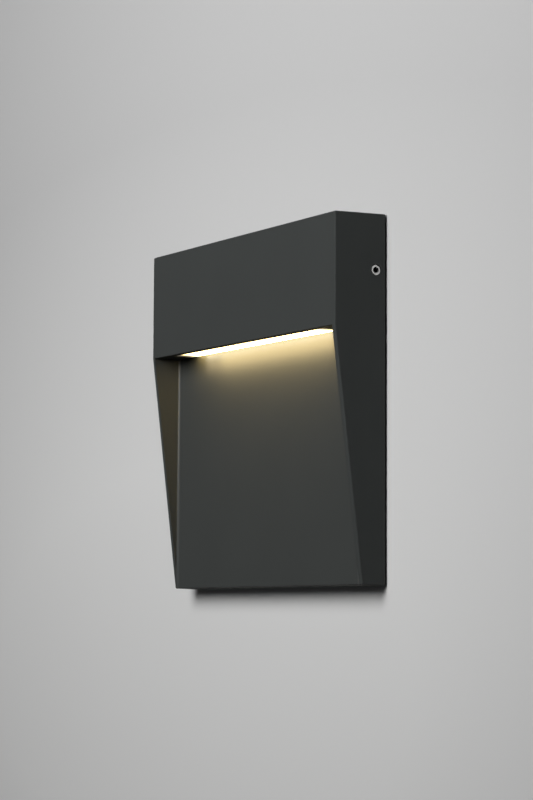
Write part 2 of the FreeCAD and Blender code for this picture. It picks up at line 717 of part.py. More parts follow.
def make_terminal_block():
    """Base bar with a tower per pole, a tunnel for each clamp and a well over each clamp screw."""
    front = plate_y - BLOCK_HEIGHT
    tall = (gear_z - BLOCK_LENGTH / 2, gear_z + BLOCK_LENGTH / 2)
    base = box((block_x - block_half, block_x + block_half), (plate_y - BLOCK_BASE, plate_y), tall)
    half_tunnel = CLAMP_SIZE / 2 + CLAMP_PLAY
    tunnel_deep = (clamp_front_y - CLAMP_PLAY, plate_y - CLAMP_SEAT)
    towers = []
    cuts = []
    for x in pole_places():
        tower = box((x - POLE_WIDTH / 2, x + POLE_WIDTH / 2), (front, plate_y - BLOCK_BASE / 2), tall)
        ridges = [edge for edge in edges_along(tower, ALONG_Z) if edge.CenterOfMass.y < front + NEAR]
        towers.append(tower.makeChamfer(POLE_CORNER, ridges))
        cuts.append(box((x - half_tunnel, x + half_tunnel), tunnel_deep, tall))
        for side in (-1, 1):
            well = vec(x, front, gear_z + side * CLAMP_SCREW_OFFSET)
            cuts.append(flat_rod(CLAMP_SCREW_HEAD + WELL_PLAY, well, ALONG_Y, clamp_front_y - front))
    for side in (-1, 1):
        hole = vec(block_x + side * POLE_PITCH / 2, front, gear_z)
        cuts.append(flat_rod(FIXING_RADIUS + HOLE_PLAY, hole, ALONG_Y, BLOCK_HEIGHT))
        cuts.append(flat_rod(FIXING_HEAD + WELL_PLAY, hole, ALONG_Y, BLOCK_HEIGHT - BLOCK_BASE))
    return single(fuse(base, *towers).cut(cuts))


def make_terminal_clamps():
    """Brass bars with a wire bore from end to end and a tapped hole near each end."""
    half = (BLOCK_LENGTH - CLAMP_SHORTER) / 2
    clamps = []
    for x in pole_places():
        along = (x - CLAMP_SIZE / 2, x + CLAMP_SIZE / 2)
        clamp = box(along, (clamp_front_y, clamp_front_y + CLAMP_SIZE), (gear_z - half, gear_z + half))
        middle = clamp_front_y + CLAMP_SIZE / 2
        cuts = [flat_rod(WIRE_RADIUS, vec(x, middle, gear_z - half), ALONG_Z, 2 * half)]
        for side in (-1, 1):
            tap = vec(x, clamp_front_y, gear_z + side * CLAMP_SCREW_OFFSET)
            cuts.append(flat_rod(CLAMP_SCREW_RADIUS + HOLE_PLAY, tap, ALONG_Y, CLAMP_SIZE / 2))
        clamps.append(single(clamp.cut(cuts)))
    return group(clamps)


def make_terminal_screws():
    screw = slotted_screw(CLAMP_SCREW_RADIUS, CLAMP_SCREW_BITE, CLAMP_SCREW_HEAD, CLAMP_SCREW_HEIGHT)
    screw = turned(screw, ALONG_X, 90)
    return group([
        at(screw, x, clamp_front_y, gear_z + side * CLAMP_SCREW_OFFSET)
        for x in pole_places()
        for side in (-1, 1)
    ])


def make_terminal_fixing_screws():
    screw = slotted_screw(FIXING_RADIUS, BLOCK_BASE + PLATE_SHEET, FIXING_HEAD, FIXING_HEAD_HEIGHT)
    screw = turned(screw, ALONG_X, 90)
    return group([
        at(screw, block_x + side * POLE_PITCH / 2, plate_y - BLOCK_BASE, gear_z)
        for side in (-1, 1)
    ])


def make_earth_washer():
    """Square cup washer with two turned-up sides that keep the conductor in."""
    half = WASHER_SIZE / 2
    front = plate_y - WASHER_THICKNESS
    tall = (gear_z - half, gear_z + half)
    sheet = box((earth_x - half, earth_x + half), (front, plate_y), tall)
    lips = []
    for side in (-1, 1):
        along = (earth_x + side * half, earth_x + side * (half - WASHER_THICKNESS / 2))
        lips.append(box(along, (front - WASHER_LIP, plate_y), tall))
    hole = flat_rod(EARTH_RADIUS + HOLE_PLAY, vec(earth_x, front, gear_z), ALONG_Y, WASHER_THICKNESS)
    return single(fuse(sheet, *lips).cut(hole))


def make_earth_screw():
    reach = WASHER_THICKNESS + PLATE_SHEET
    screw = turned(slotted_screw(EARTH_RADIUS, reach, EARTH_HEAD, EARTH_HEAD_HEIGHT), ALONG_X, 90)
    return at(screw, earth_x, plate_y - WASHER_THICKNESS, gear_z)


parts = {
    "wall_plate": make_wall_plate(),
    "cable_grommet": make_cable_grommet(),
    "terminal_block": make_terminal_block(),
    "terminal_clamps": make_terminal_clamps(),
    "terminal_screws": make_terminal_screws(),
    "terminal_fixing_screws": make_terminal_fixing_screws(),
    "earth_screw": make_earth_screw(),
    "earth_washer": make_earth_washer(),
    "housing": make_housing(),
    "rim_gasket": make_rim_gasket(),
    "diffuser": make_diffuser(),
    "diffuser_gasket": make_diffuser_gasket(),
    "led_carrier": make_led_carrier(),
    "carrier_screws": make_carrier_screws(),
    "thermal_pad": board_sheet(pad_z, tray_web_z),
    "led_board": board_sheet(board_z, pad_z),
    "led_chips": make_led_chips(),
    "led_board_screws": make_led_board_screws(),
    "driver_case": make_driver_case(),
    "driver_lid": driver_block((driver_rear_y, driver_rear_y + LID_THICKNESS), 0),
    "driver_board": make_driver_board(),
    "driver_transformer": make_driver_transformer(),
    "driver_capacitors": make_driver_capacitors(),
    "driver_screws": make_driver_screws(),
    "set_screw_left": make_set_screw(-1),
    "set_screw_right": make_set_screw(1),
}

os.makedirs("parts", exist_ok=True)
for name, shape in parts.items():
    shape.exportStep(os.path.join("parts", name + ".step"))
    print(name, len(shape.Solids), round(shape.Volume, 1), shape.isValid())
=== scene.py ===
import math

import bmesh
import bpy
from mathutils import Matrix, Vector


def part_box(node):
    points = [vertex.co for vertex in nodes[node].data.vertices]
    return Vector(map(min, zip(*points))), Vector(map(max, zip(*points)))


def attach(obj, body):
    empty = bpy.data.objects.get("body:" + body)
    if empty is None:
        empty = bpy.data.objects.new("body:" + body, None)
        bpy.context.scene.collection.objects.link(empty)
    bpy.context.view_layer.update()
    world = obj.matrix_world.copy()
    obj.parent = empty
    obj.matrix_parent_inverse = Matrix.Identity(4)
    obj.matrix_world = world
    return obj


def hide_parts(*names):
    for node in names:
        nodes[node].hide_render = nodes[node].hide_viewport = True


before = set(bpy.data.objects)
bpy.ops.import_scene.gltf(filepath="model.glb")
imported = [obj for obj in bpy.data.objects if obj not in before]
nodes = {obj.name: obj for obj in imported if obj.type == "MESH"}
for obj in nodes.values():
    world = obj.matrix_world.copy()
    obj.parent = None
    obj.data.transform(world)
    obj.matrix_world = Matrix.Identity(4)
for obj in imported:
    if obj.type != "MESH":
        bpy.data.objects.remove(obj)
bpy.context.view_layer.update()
scene = bpy.context.scene
mm = 0.001
print("frame loaded:", len(nodes), "nodes")


# Helpers for shader and geometry trees
def add(tree, kind, feeds=None, **settings):
    node = tree.nodes.new(kind)
    for key, value in settings.items():
        setattr(node, key, value)
    for key, value in (feeds or {}).items():
        if isinstance(value, bpy.types.NodeSocket):
            tree.links.new(value, node.inputs[key])
        else:
            node.inputs[key].default_value = value
    return node


def calc(tree, operation, *values):
    return add(tree, "ShaderNodeMath", dict(enumerate(values)), operation=operation).outputs[0]


# Shader helpers: every pattern reads the piece's own Object coordinates
noiseLook = {
    "span": (0.3, 0.7),      # most of a noise field lies between these
    "cloudDetail": 3.0,
    "grainDetail": 2.0,
}


def newFinish(name):
    finish = bpy.data.materials.new(name)
    finish.use_nodes = True
    return finish, finish.node_tree, finish.node_tree.nodes["Principled BSDF"]


def objectPlace(tree, stretch=(1, 1, 1), shift=(0, 0, 0)):
    place = tree.nodes.new("ShaderNodeTexCoord")
    return add(tree, "ShaderNodeMapping", {
        "Vector": place.outputs["Object"], "Scale": stretch, "Location": shift}).outputs["Vector"]


def objectAxes(tree):
    return add(tree, "ShaderNodeSeparateXYZ", {"Vector": objectPlace(tree)}).outputs


def cloud(tree, size, stretch=(1, 1, 1), detail=noiseLook["cloudDetail"]):   # size of a blotch
    return add(tree, "ShaderNodeTexNoise", {
        "Vector": objectPlace(tree, stretch), "Scale": 1 / size, "Detail": detail}).outputs["Fac"]


def tint(tree, field, dark, light, socket, span=noiseLook["span"]):
    ramp = add(tree, "ShaderNodeValToRGB", {"Fac": field})
    for element, position, color in zip(ramp.color_ramp.elements, span, (dark, light)):
        element.position = position
        element.color = (*color, 1)
    tree.links.new(ramp.outputs["Color"], socket)


def spread(tree, field, low, high, socket, span=noiseLook["span"]):
    mapRange = add(tree, "ShaderNodeMapRange", {
        "Value": field, "From Min": span[0], "From Max": span[1], "To Min": low, "To Max": high})
    tree.links.new(mapRange.outputs["Result"], socket)


def relief(tree, field, height, shader, under=None):
    bump = add(tree, "ShaderNodeBump", {"Height": field, "Distance": height})
    if under:
        tree.links.new(under, bump.inputs["Normal"])
    tree.links.new(bump.outputs["Normal"], shader.inputs["Normal"])
    return bump.outputs["Normal"]


def cloudedFinish(name, look):
    finish, tree, shader = newFinish(name)
    stretch = look.get("stretch", (1, 1, 1))
    tone = cloud(tree, look["blotch"], stretch)
    tint(tree, tone, look["dark"], look["light"], shader.inputs["Base Color"])
    grain = cloud(tree, look["grain"], stretch, noiseLook["grainDetail"])
    spread(tree, grain, *look["roughness"], shader.inputs["Roughness"])
    relief(tree, grain, look["relief"], shader)
    shader.inputs["Metallic"].default_value = look.get("metallic", 0.0)
    return finish


def dress(finish, *names):
    for name in names:
        slots = nodes[name].data.materials
        slots.clear()
        slots.append(finish)


# Powder coat of the casting: faint tone clouds, fine grain over a soft orange peel, and a painted
# highlight:
# extra gloss only along the recess corners, which brightens the highlight line there
coat = {
    "dark": (0.0467, 0.0503, 0.0491),
    "light": (0.0491, 0.0529, 0.0516),
    "cloudSize": 40 * mm,
    "roughness": (0.50, 0.60),
    "grainSize": 0.35 * mm,
    "grainHeight": 0.010 * mm,
    "peelSize": 2.2 * mm,
    "peelDetail": 1.0,
    "peelHeight": 0.012 * mm,
    "specular": 0.05,
    "paintedHighlightSpecular": 0.60,
    "corner": (77.13 * mm, 12.6 * mm),   # recess side and lit panel, from the middle and the wall
    "cornerReach": (0.45 * mm, 1.05 * mm),
}


# Mask for the painted highlight: distance to the recess corner where the extra gloss goes
def fromRecessCorner(tree):   # distance to the nearer corner, longer above the recess
    mirrored = add(tree, "ShaderNodeVectorMath", {0: objectPlace(tree, (1, 1, 0))}, operation="ABSOLUTE")
    aside = add(tree, "ShaderNodeVectorMath", {
        0: mirrored.outputs["Vector"], 1: (*coat["corner"], 0)}, operation="DISTANCE")
    away = add(tree, "ShaderNodeMath", {0: aside.outputs["Value"]}, operation="ADD")
    reach = coat["cornerReach"][1]
    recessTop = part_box("diffuser")[0].z
    spread(tree, objectAxes(tree)["Z"], 0.0, reach, away.inputs[1], (recessTop, recessTop + reach))
    return away.outputs["Value"]


def makeAnthraciteCoat():
    finish, tree, shader = newFinish("anthraciteCoat")
    tint(tree, cloud(tree, coat["cloudSize"]), coat["dark"], coat["light"], shader.inputs["Base Color"])
    grain = cloud(tree, coat["grainSize"], detail=noiseLook["grainDetail"])
    spread(tree, grain, *coat["roughness"], shader.inputs["Roughness"])
    # Painted highlight: specular level raised only along the recess corners
    spread(tree, fromRecessCorner(tree), coat["paintedHighlightSpecular"], coat["specular"],
           shader.inputs["Specular IOR Level"], coat["cornerReach"])
    orangePeel = cloud(tree, coat["peelSize"], detail=coat["peelDetail"])
    peel = relief(tree, orangePeel, coat["peelHeight"], shader)
    relief(tree, grain, coat["grainHeight"], shader, peel)
    return finish


anthraciteCoat = makeAnthraciteCoat()


# Opal strip: glows on its open face, strongest next to the lit panel, dim past the last LED
opal = {
    "dark": (0.86, 0.84, 0.80),
    "light": (0.93, 0.91, 0.87),
    "cloudSize": 3 * mm,
    "roughness": (0.28, 0.36),
    "glow": (1.0, 0.71, 0.29),
    "dim": (0.016, 0.014, 0.010),
    "fade": 4.0 * mm,                # to each side of the last LED's end
    "strength": 9.0,
    "innerStrength": 32.0,           # along the edge next to the lit panel
    "innerReach": 4.5 * mm,
    "flangeRear": 1.65 * mm,         # flange past the bar
    "glowHeight": 1.2 * mm,          # no glow above the window
    "glowEdge": 0.1 * mm,
}


def makeOpal():
    finish, tree, shader = newFinish("opal")
    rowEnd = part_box("led_chips")[1].x
    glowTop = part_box("diffuser")[0].z + opal["glowHeight"]
    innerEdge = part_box("diffuser")[1].y - opal["flangeRear"]
    haze = cloud(tree, opal["cloudSize"])
    tint(tree, haze, opal["dark"], opal["light"], shader.inputs["Base Color"])
    spread(tree, haze, *opal["roughness"], shader.inputs["Roughness"])
    axes = objectAxes(tree)
    along = tree.nodes.new("ShaderNodeValToRGB")
    spread(tree, calc(tree, "ABSOLUTE", axes["X"]), 0.0, 1.0, along.inputs["Fac"],
           (rowEnd - opal["fade"], rowEnd + opal["fade"]))
    along.color_ramp.interpolation = "EASE"
    along.color_ramp.elements[0].color = (*opal["glow"], 1)
    along.color_ramp.elements[1].color = (*opal["dim"], 1)
    tree.links.new(along.outputs["Color"], shader.inputs["Emission Color"])
    lit = add(tree, "ShaderNodeMath", operation="MULTIPLY")
    spread(tree, axes["Y"], opal["strength"], opal["innerStrength"], lit.inputs[0],
           (innerEdge - opal["innerReach"], innerEdge))
    spread(tree, axes["Z"], 1.0, 0.0, lit.inputs[1], (glowTop, glowTop + opal["glowEdge"]))
    tree.links.new(lit.outputs["Value"], shader.inputs["Emission Strength"])
    return finish


dress(makeOpal(), "diffuser")
print("coat and glow mixed")

stainless = {
    "dark": (0.52, 0.52, 0.51), "light": (0.66, 0.66, 0.65), "blotch": 1.5 * mm, "grain": 0.2 * mm,
    "roughness": (0.18, 0.30), "relief": 0.004 * mm, "metallic": 1.0,
}
stainlessFinish = cloudedFinish("stainless", stainless)

# Painted shade: the hex socket's walls, floor and coned mouth get this dark colour for the shade inside
# the hole
socketShade = {
    "dark": (0.030, 0.030, 0.030), "light": (0.060, 0.060, 0.058), "blotch": 0.8 * mm, "grain": 0.2 * mm,
    "roughness": (0.40, 0.55), "relief": 0.004 * mm, "metallic": 0.6,
}
socketPaintedShade = cloudedFinish("socketShade", socketShade)

zincSteel = {
    "dark": (0.55, 0.57, 0.59), "light": (0.60, 0.62, 0.64), "blotch": 6 * mm, "grain": 0.5 * mm,
    "roughness": (0.30, 0.42), "relief": 0.004 * mm, "metallic": 1.0,
}
zincFinish = cloudedFinish("zincSteel", zincSteel)

blackFoam = {
    "dark": (0.006, 0.006, 0.0065), "light": (0.016, 0.016, 0.017), "blotch": 0.8 * mm, "grain": 0.3 * mm,
    "roughness": (0.85, 0.98), "relief": 0.12 * mm,
}
dress(cloudedFinish("blackFoam", blackFoam), "rim_gasket")

blackRubber = {
    "dark": (0.012, 0.012, 0.012), "light": (0.022, 0.022, 0.022), "blotch": 5 * mm, "grain": 0.25 * mm,
    "roughness": (0.55, 0.72), "relief": 0.015 * mm,
}
rubberFinish = cloudedFinish("blackRubber", blackRubber)

silicone = {
    "dark": (0.62, 0.63, 0.62), "light": (0.72, 0.72, 0.71), "blotch": 6 * mm, "grain": 0.4 * mm,
    "roughness": (0.5, 0.62), "relief": 0.01 * mm,
}
dress(cloudedFinish("silicone", silicone), "diffuser_gasket", "thermal_pad")

trayAluminium = {
    "dark": (0.66, 0.67, 0.68), "light": (0.78, 0.79, 0.80), "blotch": 4 * mm, "grain": 0.25 * mm,
    "roughness": (0.30, 0.42), "relief": 0.006 * mm, "metallic": 1.0, "stretch": (0.06, 1, 1),
}
trayFinish = cloudedFinish("trayAluminium", trayAluminium)

boardWhite = {
    "dark": (0.76, 0.78, 0.76), "light": (0.84, 0.85, 0.84), "blotch": 7 * mm, "grain": 0.3 * mm,
    "roughness": (0.35, 0.45), "relief": 0.004 * mm,
}
dress(cloudedFinish("boardWhite", boardWhite), "led_board")

ledPhosphor = {
    "dark": (0.82, 0.62, 0.12), "light": (0.90, 0.72, 0.20), "blotch": 0.6 * mm, "grain": 0.1 * mm,
    "roughness": (0.32, 0.42), "relief": 0.004 * mm,
}
phosphorFinish = cloudedFinish("ledPhosphor", ledPhosphor)

terminalPlastic = {
    "dark": (0.70, 0.68, 0.61), "light": (0.78, 0.76, 0.69), "blotch": 8 * mm, "grain": 0.3 * mm,
    "roughness": (0.38, 0.50), "relief": 0.010 * mm,
}
terminalFinish = cloudedFinish("terminalPlastic", terminalPlastic)

brass = {
    "dark": (0.66, 0.46, 0.18), "light": (0.80, 0.60, 0.28), "blotch": 2.5 * mm, "grain": 0.2 * mm,
    "roughness": (0.22, 0.36), "relief": 0.004 * mm, "metallic": 1.0,
}
brassFinish = cloudedFinish("brass", brass)

driverPlastic = {
    "dark": (0.66, 0.67, 0.68), "light": (0.73, 0.74, 0.75), "blotch": 12 * mm, "grain": 0.4 * mm,
    "roughness": (0.48, 0.62), "relief": 0.02 * mm,
}
driverFinish = cloudedFinish("driverPlastic", driverPlastic)
dress(driverFinish, "driver_lid")

boardGreen = {
    "dark": (0.02, 0.14, 0.06), "light": (0.03, 0.20, 0.09), "blotch": 2 * mm, "grain": 0.3 * mm,
    "roughness": (0.30, 0.42), "relief": 0.006 * mm,
}
dress(cloudedFinish("boardGreen", boardGreen), "driver_board")

ferrite = {
    "dark": (0.03, 0.03, 0.033), "light": (0.06, 0.06, 0.064), "blotch": 1.5 * mm, "grain": 0.2 * mm,
    "roughness": (0.5, 0.65), "relief": 0.02 * mm,
}
dress(cloudedFinish("ferrite", ferrite), "driver_transformer")

capacitorSleeve = {
    "dark": (0.018, 0.022, 0.04), "light": (0.03, 0.036, 0.06), "blotch": 3 * mm, "grain": 0.3 * mm,
    "roughness": (0.22, 0.32), "relief": 0.005 * mm,
}
sleeveFinish = cloudedFinish("capacitorSleeve", capacitorSleeve)
print("finishes mixed")


# Mesh helpers
def newObject(name, data):
    thing = bpy.data.objects.new(name, data)
    scene.collection.objects.link(thing)
    return thing


def plainMesh(piece):
    graph = bpy.context.evaluated_depsgraph_get()
    mesh = bpy.data.meshes.new_from_object(piece.evaluated_get(graph), depsgraph=graph)
    piece.modifiers.clear()
    piece.data = mesh
    return mesh


def mergeDoubles(mesh, reach, flatAngle=None):
    shell = bmesh.new()
    shell.from_mesh(mesh)
    bmesh.ops.remove_doubles(shell, verts=shell.verts, dist=reach)
    bmesh.ops.recalc_face_normals(shell, faces=shell.faces)
    if flatAngle:   # one face per flat
        bmesh.ops.dissolve_limit(
            shell, angle_limit=math.radians(flatAngle), verts=shell.verts, edges=shell.edges)
    shell.to_mesh(mesh)
    shell.free()


def shadeByAngle(mesh, angle):
    mesh.shade_smooth()
    mesh.set_sharp_from_angle(angle=math.radians(angle))


# Smoothed copies of the CAD pieces that have round edges: merged, sharp only at real corners
smoothed = {
    "housing": {"body": "light_body", "slot": "anthracite_coat", "finish": anthraciteCoat},
    "led_carrier": {"body": "light_body", "slot": "tray_aluminium", "finish": trayFinish},
    "driver_case": {"body": "light_body", "slot": "driver_plastic", "finish": driverFinish},
    "driver_capacitors": {"body": "light_body", "slot": "capacitor_sleeve", "finish": sleeveFinish},
    "wall_plate": {"body": "wall_base", "slot": "zinc_steel", "finish": zincFinish},
    "cable_grommet": {"body": "wall_base", "slot": "black_rubber", "finish": rubberFinish},
    "terminal_block": {"body": "wall_base", "slot": "terminal_plastic", "finish": terminalFinish},
    "terminal_clamps": {"body": "wall_base", "slot": "brass", "finish": brassFinish},
    "earth_washer": {"body": "wall_base", "slot": "brass", "finish": brassFinish},
}
smoothing = {"mergeReach": 0.001 * mm, "flatAngle": 0.1, "cornerAngle": 24.0, "areaWeight": 60}


def smoothCopy(name, look):
    piece = newObject(name + "_smooth", nodes[name].data.copy())
    mergeDoubles(piece.data, smoothing["mergeReach"], smoothing["flatAngle"])
    shadeByAngle(piece.data, smoothing["cornerAngle"])
    evening = piece.modifiers.new("evening", "WEIGHTED_NORMAL")   # keeps the flats flat
    evening.weight = smoothing["areaWeight"]
    evening.keep_sharp = True
    mesh = plainMesh(piece)
    mesh.materials.clear()
    mesh.materials.append(look["finish"])
    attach(piece, look["body"])
    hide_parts(name)


for name, look in smoothed.items():
    smoothCopy(name, look)
print("round edges smoothed:", len(smoothed), "pieces")


# Geometry Nodes helpers
grown = {"mergeReach": 0.0005 * mm, "screwCorner": 32.0, "chipCorner": 20.0}   # corners in degrees


def newTree(name, inputs):
    tree = bpy.data.node_groups.new(name, "GeometryNodeTree")
    for label, kind in inputs.items():
        tree.interface.new_socket(label, in_out="INPUT", socket_type="NodeSocket" + kind)
    tree.interface.new_socket("Mesh", in_out="OUTPUT", socket_type="NodeSocketGeometry")
    return tree, tree.nodes.new("NodeGroupInput").outputs


def endTree(tree, mesh):
    tree.links.new(mesh, tree.nodes.new("NodeGroupOutput").inputs[0])


def growPiece(name, tree, values, cornerAngle):
    piece = newObject(name, bpy.data.meshes.new(name))
    grower = piece.modifiers.new("grow", "NODES")
    grower.node_group = tree
    for socket in tree.interface.items_tree:
        if socket.in_out == "INPUT":
            grower[socket.identifier] = values[socket.name]
    mesh = plainMesh(piece)
    mergeDoubles(mesh, grown["mergeReach"])
    shadeByAngle(mesh, cornerAngle)
    return piece


def positionAxes(tree):
    place = add(tree, "GeometryNodeInputPosition").outputs[0]
    return add(tree, "ShaderNodeSeparateXYZ", {0: place}).outputs


def fromAxis(tree, axes):
    squares = [calc(tree, "POWER", axes[axis], 2.0) for axis in "XY"]
    return calc(tree, "SQRT", calc(tree, "ADD", *squares))


def shifted(tree, mesh, height):
    lift = add(tree, "ShaderNodeCombineXYZ", {"Z": height})
    return add(tree, "GeometryNodeTransform", {
        "Geometry": mesh, "Translation": lift.outputs[0]}).outputs[0]


def carved(tree, mesh, cutter):
    return add(tree, "GeometryNodeMeshBoolean", {"Mesh 1": mesh, "Mesh 2": cutter},
               operation="DIFFERENCE", solver="MANIFOLD").outputs["Mesh"]


def coated(tree, mesh, finish, mark=None):   # mark: a face attribute that limits the finish
    node = add(tree, "GeometryNodeSetMaterial", {"Geometry": mesh, "Material": finish})
    if mark:
        named = add(tree, "GeometryNodeInputNamedAttribute", {"Name": mark}, data_type="BOOLEAN")
        tree.links.new(named.outputs["Attribute"], node.inputs["Selection"])
    return node.outputs[0]


# A rod along Z with a real helical thread and chamfered ends
thread = {
    "sides": 28,
    "flankSlope": 1.08,      # depth for a step along the pitch
    "endChamfer": 0.4,       # in pitches
}


def threadedRod(tree, radius, length, pitch, steps):
    rod = add(tree, "GeometryNodeMeshCylinder", {
        "Vertices": thread["sides"], "Side Segments": steps, "Radius": radius, "Depth": length})
    place = add(tree, "GeometryNodeInputPosition").outputs[0]
    axes = add(tree, "ShaderNodeSeparateXYZ", {0: place}).outputs
    turn = calc(tree, "DIVIDE", calc(tree, "ARCTAN2", axes["Y"], axes["X"]), 2 * math.pi)
    rise = calc(tree, "DIVIDE", axes["Z"], pitch)
    wave = calc(tree, "PINGPONG", calc(tree, "SUBTRACT", rise, turn), 0.5)   # 0 on the crest
    cut = calc(tree, "MULTIPLY", calc(tree, "MULTIPLY", wave, thread["flankSlope"]), pitch)
    half = calc(tree, "MULTIPLY", length, 0.5)
    toEnd = calc(tree, "SUBTRACT", half, calc(tree, "ABSOLUTE", axes["Z"]))
    endCut = calc(tree, "SUBTRACT", calc(tree, "MULTIPLY", pitch, thread["endChamfer"]), toEnd)
    drop = calc(tree, "DIVIDE", calc(tree, "MAXIMUM", cut, endCut), radius)
    keep = calc(tree, "SUBTRACT", 1.0, drop)
    scale = add(tree, "ShaderNodeCombineXYZ", {"X": keep, "Y": keep, "Z": 1.0})
    moved = add(tree, "ShaderNodeVectorMath", {0: place, 1: scale.outputs[0]}, operation="MULTIPLY")
    return add(tree, "GeometryNodeSetPosition", {
        "Geometry": rod.outputs["Mesh"], "Position": moved.outputs[0]}).outputs[0]


# Set screws: threaded all along, hex socket with a coned mouth; the socket's faces carry painted shade
setScrew = {
    "Radius": 2.5 * mm,
    "Length": 7.0 * mm,
    "Pitch": 0.8 * mm,
    "Socket across flats": 2.5 * mm,
    "Socket depth": 3.0 * mm,
    "Thread steps": 72,
}
setScrewSides = {
    "set_screw_left": {"body": "left_screw", "Facing": (-1, 0, 0)},
    "set_screw_right": {"body": "right_screw", "Facing": (1, 0, 0)},
}
socketShape = {
    "mouth": 1.04,           # mouth radius to the hexagon's corner
    "mouthDepth": 0.6,       # in mouth radii
    "mouthSeat": 0.598,      # so that the cone rises just past the end face
    "shadeTop": 0.97,        # faces between these heights, in half lengths, get the socket's painted shade
    "shadeBottom": -0.5,
    "shadeReach": 1.01,      # in corner radii
}


def socketFaces(tree, top, corner):
    axes = positionAxes(tree)
    sunk = calc(tree, "LESS_THAN", axes["Z"], calc(tree, "MULTIPLY", top, socketShape["shadeTop"]))
    reach = calc(tree, "MULTIPLY", corner, socketShape["shadeReach"])
    inSocket = calc(tree, "MULTIPLY", sunk, calc(tree, "LESS_THAN", fromAxis(tree, axes), reach))
    lowest = calc(tree, "MULTIPLY", top, socketShape["shadeBottom"])
    return calc(tree, "MULTIPLY", inSocket, calc(tree, "GREATER_THAN", axes["Z"], lowest))


def setScrewTree():
    tree, given = newTree("setScrew", {
        "Radius": "Float", "Length": "Float", "Pitch": "Float", "Socket across flats": "Float",
        "Socket depth": "Float", "Thread steps": "Int", "Place": "Vector", "Facing": "Vector",
        "Finish": "Material", "Socket painted shade": "Material"})
    rod = threadedRod(tree, given["Radius"], given["Length"], given["Pitch"], given["Thread steps"])
    top = calc(tree, "MULTIPLY", given["Length"], 0.5)
    corner = calc(tree, "DIVIDE", given["Socket across flats"], math.sqrt(3))
    socket = add(tree, "GeometryNodeMeshCylinder", {
        "Vertices": 6, "Radius": corner, "Depth": calc(tree, "MULTIPLY", given["Socket depth"], 2.0)})
    mouthRadius = calc(tree, "MULTIPLY", corner, socketShape["mouth"])
    mouth = add(tree, "GeometryNodeMeshCone", {
        "Vertices": thread["sides"], "Radius Top": mouthRadius, "Radius Bottom": 0.0,
        "Depth": calc(tree, "MULTIPLY", mouthRadius, socketShape["mouthDepth"])})
    mouthPlace = calc(tree, "SUBTRACT", top, calc(tree, "MULTIPLY", mouthRadius, socketShape["mouthSeat"]))
    coned = carved(tree, rod, shifted(tree, mouth.outputs["Mesh"], mouthPlace))
    body = carved(tree, coned, shifted(tree, socket.outputs["Mesh"], top))
    marked = add(tree, "GeometryNodeStoreNamedAttribute", {
        "Geometry": body, "Name": "socketFace", "Value": socketFaces(tree, top, corner)},
        data_type="BOOLEAN", domain="FACE")
    turn = add(tree, "FunctionNodeAlignRotationToVector", {"Vector": given["Facing"]}, axis="Z")
    placed = add(tree, "GeometryNodeTransform", {
        "Geometry": marked.outputs[0], "Translation": given["Place"], "Rotation": turn.outputs[0]})
    whole = add(tree, "GeometryNodeRealizeInstances", {"Geometry": placed.outputs[0]})
    steel = coated(tree, whole.outputs[0], given["Finish"])
    endTree(tree, coated(tree, steel, given["Socket painted shade"], "socketFace"))
    return tree


setScrewNodes = setScrewTree()
for name, side in setScrewSides.items():
    middle = sum(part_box(name), Vector()) / 2
    values = {**setScrew, **side, "Place": middle, "Finish": stainlessFinish,
              "Socket painted shade": socketPaintedShade}
    piece = growPiece(name + "_threaded", setScrewNodes, values, grown["screwCorner"])
    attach(piece, side["body"])
    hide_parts(name)
print("set screws threaded")


# Screw groups: crowned heads with a slot or a cross, on a grid of seats
screwGroups = {
    "terminal_screws": {
        "body": "wall_base", "slot": "zinc_steel", "Finish": zincFinish,
        "Facing": (0, -1, 0), "Columns": 3, "Rows": 2,
        "Head radius": 1.7 * mm, "Head height": 3.0 * mm,
        "Shank radius": 1.3 * mm, "Shank length": 1.0 * mm,
        "Pitch": 0.45 * mm, "Thread steps": 14, "Cross": False, "Seed": 3,
    },
    "terminal_fixing_screws": {
        "body": "wall_base", "slot": "zinc_steel", "Finish": zincFinish,
        "Facing": (0, -1, 0), "Columns": 2, "Rows": 1,
        "Head radius": 2.1 * mm, "Head height": 1.6 * mm,
        "Shank radius": 1.4 * mm, "Shank length": 6.5 * mm,
        "Pitch": 0.5 * mm, "Thread steps": 78, "Cross": True, "Seed": 5,
    },
    "earth_screw": {
        "body": "wall_base", "slot": "brass", "Finish": brassFinish,
        "Facing": (0, -1, 0), "Columns": 1, "Rows": 1,
        "Head radius": 4.0 * mm, "Head height": 2.6 * mm,
        "Shank radius": 2.0 * mm, "Shank length": 2.5 * mm,
        "Pitch": 0.7 * mm, "Thread steps": 22, "Cross": False, "Seed": 8,
    },
    "carrier_screws": {
        "body": "light_body", "slot": "zinc_steel", "Finish": zincFinish,
        "Facing": (0, 0, 1), "Columns": 2, "Rows": 1,
        "Head radius": 2.4 * mm, "Head height": 1.7 * mm,
        "Shank radius": 1.25 * mm, "Shank length": 4.6 * mm,
        "Pitch": 0.45 * mm, "Thread steps": 60, "Cross": True, "Seed": 11,
    },
    "led_board_screws": {
        "body": "light_body", "slot": "zinc_steel", "Finish": zincFinish,
        "Facing": (0, 0, -1), "Columns": 3, "Rows": 1,
        "Head radius": 1.8 * mm, "Head height": 1.2 * mm,
        "Shank radius": 1.0 * mm, "Shank length": 3.0 * mm,
        "Pitch": 0.4 * mm, "Thread steps": 46, "Cross": True, "Seed": 14,
    },
    "driver_screws": {
        "body": "light_body", "slot": "zinc_steel", "Finish": zincFinish,
        "Facing": (0, 1, 0), "Columns": 2, "Rows": 1,
        "Head radius": 2.5 * mm, "Head height": 2.0 * mm,
        "Shank radius": 1.25 * mm, "Shank length": 3.2 * mm,
        "Pitch": 0.45 * mm, "Thread steps": 42, "Cross": True, "Seed": 17,
    },
}
